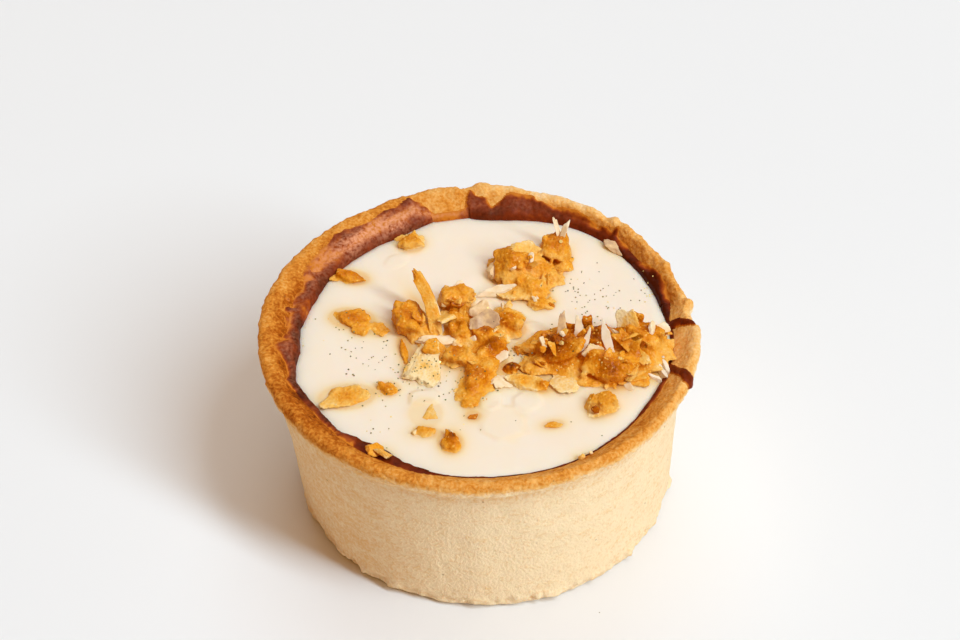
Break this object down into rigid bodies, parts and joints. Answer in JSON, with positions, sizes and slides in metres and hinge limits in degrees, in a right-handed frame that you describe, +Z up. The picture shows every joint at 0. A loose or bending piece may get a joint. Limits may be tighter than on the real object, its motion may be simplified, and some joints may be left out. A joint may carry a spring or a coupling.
{
  "type": "lemon tartlet",
  "caption": "Small round pastry tartlet, lined with dark chocolate, filled level with lemon cream and topped with crumbs of almond brittle.",
  "frame": {"origin": "on the surface that the tartlet stands on, under the middle of its bounding box", "axes": "+Z up; -Y towards the viewer of the picture, +X to the right"},
  "size_m": [0.0462, 0.0464, 0.0247],
  "materials": {
    "pastry": "baked sweet pastry, pale on the wall and golden brown on the lip, fine crumb",
    "chocolate": "brushed-on dark chocolate, satin",
    "cream": "set lemon cream, smooth and slightly glossy",
    "brittle": "broken caramelised almond brittle, translucent amber"
  },
  "bodies": {
    "root": {"pastry_case": "pastry", "chocolate_lining": "chocolate", "lemon_cream": "cream", "brittle_heap_right": "brittle", "brittle_heap_middle": "brittle", "brittle_heap_back": "brittle"}
  },
  "joints": []
}
